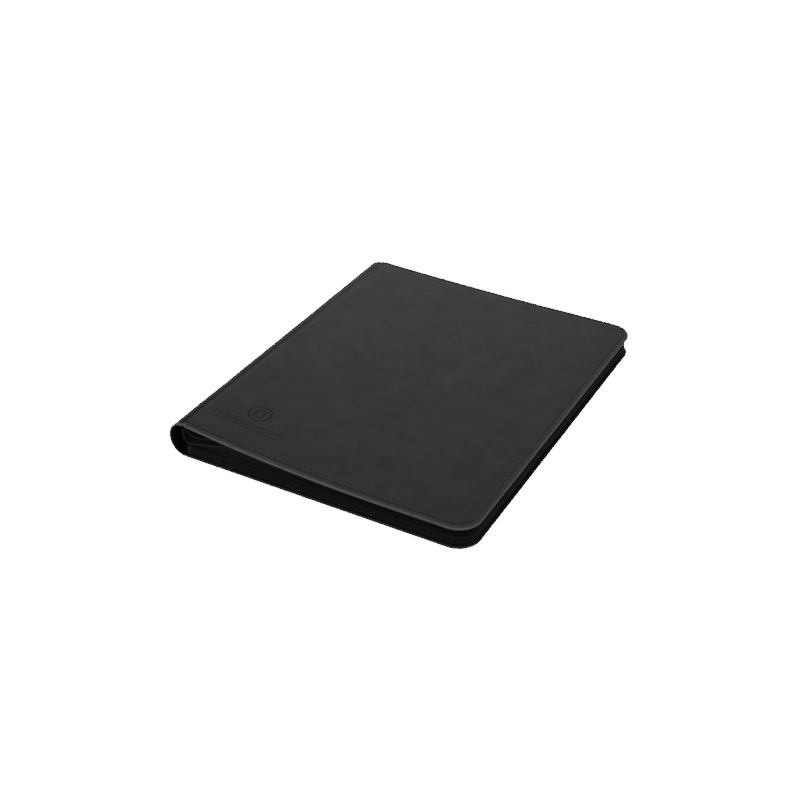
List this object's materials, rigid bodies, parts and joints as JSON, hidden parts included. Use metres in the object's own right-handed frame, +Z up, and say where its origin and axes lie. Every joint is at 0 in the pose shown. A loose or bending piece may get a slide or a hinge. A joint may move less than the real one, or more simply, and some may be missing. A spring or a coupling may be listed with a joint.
{
  "type": "trading card binder",
  "caption": "Zip-up card binder: soft spine, two hinged leatherette covers, three-sided zip with slider and pull, and pocket pages that turn on a bound edge",
  "frame": {"origin": "centre of the back cover's underside, on the table", "axes": "+X toward the fore edge, +Y toward the head, +Z up through the closed binder"},
  "size_m": [0.284, 0.3472, 0.0332],
  "materials": {
    "cover_leatherette": "matt charcoal leatherette with a fine pebbled grain",
    "edge_binding": "matt charcoal leatherette turned over the edge",
    "cover_board": "dense grey board",
    "inner_lining": "black brushed lining",
    "stitch_thread": "dark grey twisted thread",
    "zip_tape": "black woven tape",
    "zip_coil": "black nylon coil",
    "zip_hardware": "black moulded stops",
    "slider_metal": "black enamelled die casting",
    "pull_rubber": "black soft moulded grip",
    "page_binding": "welded stack of page margins, black",
    "page_film": "thin flexible film",
    "page_sheet": "black backing with clear glossy pockets"
  },
  "bodies": {
    "back_cover": {"back_skin": "cover_leatherette", "back_board": "cover_board", "back_lining": "inner_lining", "back_hem": "edge_binding", "back_stitching": "stitch_thread", "back_zip_tape": "zip_tape", "back_zip_chain": "zip_coil", "back_zip_stop": "zip_hardware", "zip_box": "zip_hardware"},
    "spine": {"spine_skin": "cover_leatherette", "spine_lining": "inner_lining", "spine_tail_hem": "edge_binding", "spine_head_hem": "edge_binding", "binding_bar": "page_binding", "binding_web": "inner_lining", "page_roots": "page_film"},
    "front_cover": {"front_skin": "cover_leatherette", "front_board": "cover_board", "front_lining": "inner_lining", "front_hem": "edge_binding", "front_stitching": "stitch_thread", "front_zip_tape": "zip_tape", "front_zip_chain": "zip_coil", "front_zip_stop": "zip_hardware", "zip_pin": "zip_hardware"},
    "slider": {"slider_body": "slider_metal"},
    "pull": {"pull_link": "slider_metal", "pull_grip": "pull_rubber"},
    "leaf_01": {"page_01": "page_sheet"},
    "leaf_02": {"page_02": "page_sheet"},
    "leaf_03": {"page_03": "page_sheet"},
    "leaf_04": {"page_04": "page_sheet"},
    "leaf_05": {"page_05": "page_sheet"},
    "leaf_06": {"page_06": "page_sheet"},
    "leaf_07": {"page_07": "page_sheet"},
    "leaf_08": {"page_08": "page_sheet"},
    "leaf_09": {"page_09": "page_sheet"},
    "leaf_10": {"page_10": "page_sheet"},
    "leaf_11": {"page_11": "page_sheet"},
    "leaf_12": {"page_12": "page_sheet"},
    "leaf_13": {"page_13": "page_sheet"},
    "leaf_14": {"page_14": "page_sheet"},
    "leaf_15": {"page_15": "page_sheet"},
    "leaf_16": {"page_16": "page_sheet"},
    "leaf_17": {"page_17": "page_sheet"},
    "leaf_18": {"page_18": "page_sheet"},
    "leaf_19": {"page_19": "page_sheet"},
    "leaf_20": {"page_20": "page_sheet"}
  },
  "joints": [
    {"name": "spine_fold", "type": "hinge", "parent": "back_cover", "child": "spine", "pos_m": [-0.124, 0, 0.0015], "axis": [0, -1, 0], "range_deg": [0, 90], "deforming": ["spine_skin", "spine_lining", "spine_tail_hem", "spine_head_hem", "binding_web", "page_roots"]},
    {"name": "cover_fold", "type": "hinge", "parent": "spine", "child": "front_cover", "pos_m": [-0.124, 0, 0.027], "axis": [0, -0.9996, 0.0272], "range_deg": [0, 90]},
    {"name": "zip_slide", "type": "slide", "parent": "back_cover", "child": "slider", "axis": [1, 0, 0], "range_m": [0, 0.1795]},
    {"name": "pull_swing", "type": "hinge", "parent": "slider", "child": "pull", "pos_m": [-0.072, 0.1731, 0.012], "axis": [0, 0, 1], "range_deg": [0, 180]},
    {"name": "turn_01", "type": "hinge", "parent": "spine", "child": "leaf_01", "pos_m": [-0.11542, 0, 0.01008], "axis": [0, -1, 0], "range_deg": [0, 85.7]},
    {"name": "turn_02", "type": "hinge", "parent": "spine", "child": "leaf_02", "pos_m": [-0.11542, 0, 0.01008], "axis": [0, -1, 0], "range_deg": [0, 85.7]},
    {"name": "turn_03", "type": "hinge", "parent": "spine", "child": "leaf_03", "pos_m": [-0.11542, 0, 0.01008], "axis": [0, -1, 0], "range_deg": [0, 85.7]},
    {"name": "turn_04", "type": "hinge", "parent": "spine", "child": "leaf_04", "pos_m": [-0.11542, 0, 0.01008], "axis": [0, -1, 0], "range_deg": [0, 85.7]},
    {"name": "turn_05", "type": "hinge", "parent": "spine", "child": "leaf_05", "pos_m": [-0.11542, 0, 0.01008], "axis": [0, -1, 0], "range_deg": [0, 85.7]},
    {"name": "turn_06", "type": "hinge", "parent": "spine", "child": "leaf_06", "pos_m": [-0.11542, 0, 0.01008], "axis": [0, -1, 0], "range_deg": [0, 85.7]},
    {"name": "turn_07", "type": "hinge", "parent": "spine", "child": "leaf_07", "pos_m": [-0.11542, 0, 0.01008], "axis": [0, -1, 0], "range_deg": [0, 85.7]},
    {"name": "turn_08", "type": "hinge", "parent": "spine", "child": "leaf_08", "pos_m": [-0.11542, 0, 0.01008], "axis": [0, -1, 0], "range_deg": [0, 85.7]},
    {"name": "turn_09", "type": "hinge", "parent": "spine", "child": "leaf_09", "pos_m": [-0.11542, 0, 0.01008], "axis": [0, -1, 0], "range_deg": [0, 85.7]},
    {"name": "turn_10", "type": "hinge", "parent": "spine", "child": "leaf_10", "pos_m": [-0.11542, 0, 0.01008], "axis": [0, -1, 0], "range_deg": [0, 85.7]},
    {"name": "turn_11", "type": "hinge", "parent": "spine", "child": "leaf_11", "pos_m": [-0.11542, 0, 0.01008], "axis": [0, -1, 0], "range_deg": [-90, 0]},
    {"name": "turn_12", "type": "hinge", "parent": "spine", "child": "leaf_12", "pos_m": [-0.11542, 0, 0.01008], "axis": [0, -1, 0], "range_deg": [-90, 0]},
    {"name": "turn_13", "type": "hinge", "parent": "spine", "child": "leaf_13", "pos_m": [-0.11542, 0, 0.01008], "axis": [0, -1, 0], "range_deg": [-90, 0]},
    {"name": "turn_14", "type": "hinge", "parent": "spine", "child": "leaf_14", "pos_m": [-0.11542, 0, 0.01008], "axis": [0, -1, 0], "range_deg": [-90, 0]},
    {"name": "turn_15", "type": "hinge", "parent": "spine", "child": "leaf_15", "pos_m": [-0.11542, 0, 0.01008], "axis": [0, -1, 0], "range_deg": [-90, 0]},
    {"name": "turn_16", "type": "hinge", "parent": "spine", "child": "leaf_16", "pos_m": [-0.11542, 0, 0.01008], "axis": [0, -1, 0], "range_deg": [-90, 0]},
    {"name": "turn_17", "type": "hinge", "parent": "spine", "child": "leaf_17", "pos_m": [-0.11542, 0, 0.01008], "axis": [0, -1, 0], "range_deg": [-90, 0]},
    {"name": "turn_18", "type": "hinge", "parent": "spine", "child": "leaf_18", "pos_m": [-0.11542, 0, 0.01008], "axis": [0, -1, 0], "range_deg": [-90, 0]},
    {"name": "turn_19", "type": "hinge", "parent": "spine", "child": "leaf_19", "pos_m": [-0.11542, 0, 0.01008], "axis": [0, -1, 0], "range_deg": [-90, 0]},
    {"name": "turn_20", "type": "hinge", "parent": "spine", "child": "leaf_20", "pos_m": [-0.11542, 0, 0.01008], "axis": [0, -1, 0], "range_deg": [-90, 0]}
  ],
  "couplings": [
    {"joint": "cover_fold", "follows": "spine_fold", "ratio": 1},
    {"joint": "turn_01", "follows": "spine_fold", "ratio": 0.952},
    {"joint": "turn_02", "follows": "spine_fold", "ratio": 0.952},
    {"joint": "turn_03", "follows": "spine_fold", "ratio": 0.952},
    {"joint": "turn_04", "follows": "spine_fold", "ratio": 0.952},
    {"joint": "turn_05", "follows": "spine_fold", "ratio": 0.952},
    {"joint": "turn_06", "follows": "spine_fold", "ratio": 0.952},
    {"joint": "turn_07", "follows": "spine_fold", "ratio": 0.952},
    {"joint": "turn_08", "follows": "spine_fold", "ratio": 0.952},
    {"joint": "turn_09", "follows": "spine_fold", "ratio": 0.952},
    {"joint": "turn_10", "follows": "spine_fold", "ratio": 0.952},
    {"joint": "turn_11", "follows": "spine_fold", "ratio": -1},
    {"joint": "turn_12", "follows": "spine_fold", "ratio": -1},
    {"joint": "turn_13", "follows": "spine_fold", "ratio": -1},
    {"joint": "turn_14", "follows": "spine_fold", "ratio": -1},
    {"joint": "turn_15", "follows": "spine_fold", "ratio": -1},
    {"joint": "turn_16", "follows": "spine_fold", "ratio": -1},
    {"joint": "turn_17", "follows": "spine_fold", "ratio": -1},
    {"joint": "turn_18", "follows": "spine_fold", "ratio": -1},
    {"joint": "turn_19", "follows": "spine_fold", "ratio": -1},
    {"joint": "turn_20", "follows": "spine_fold", "ratio": -1}
  ]
}
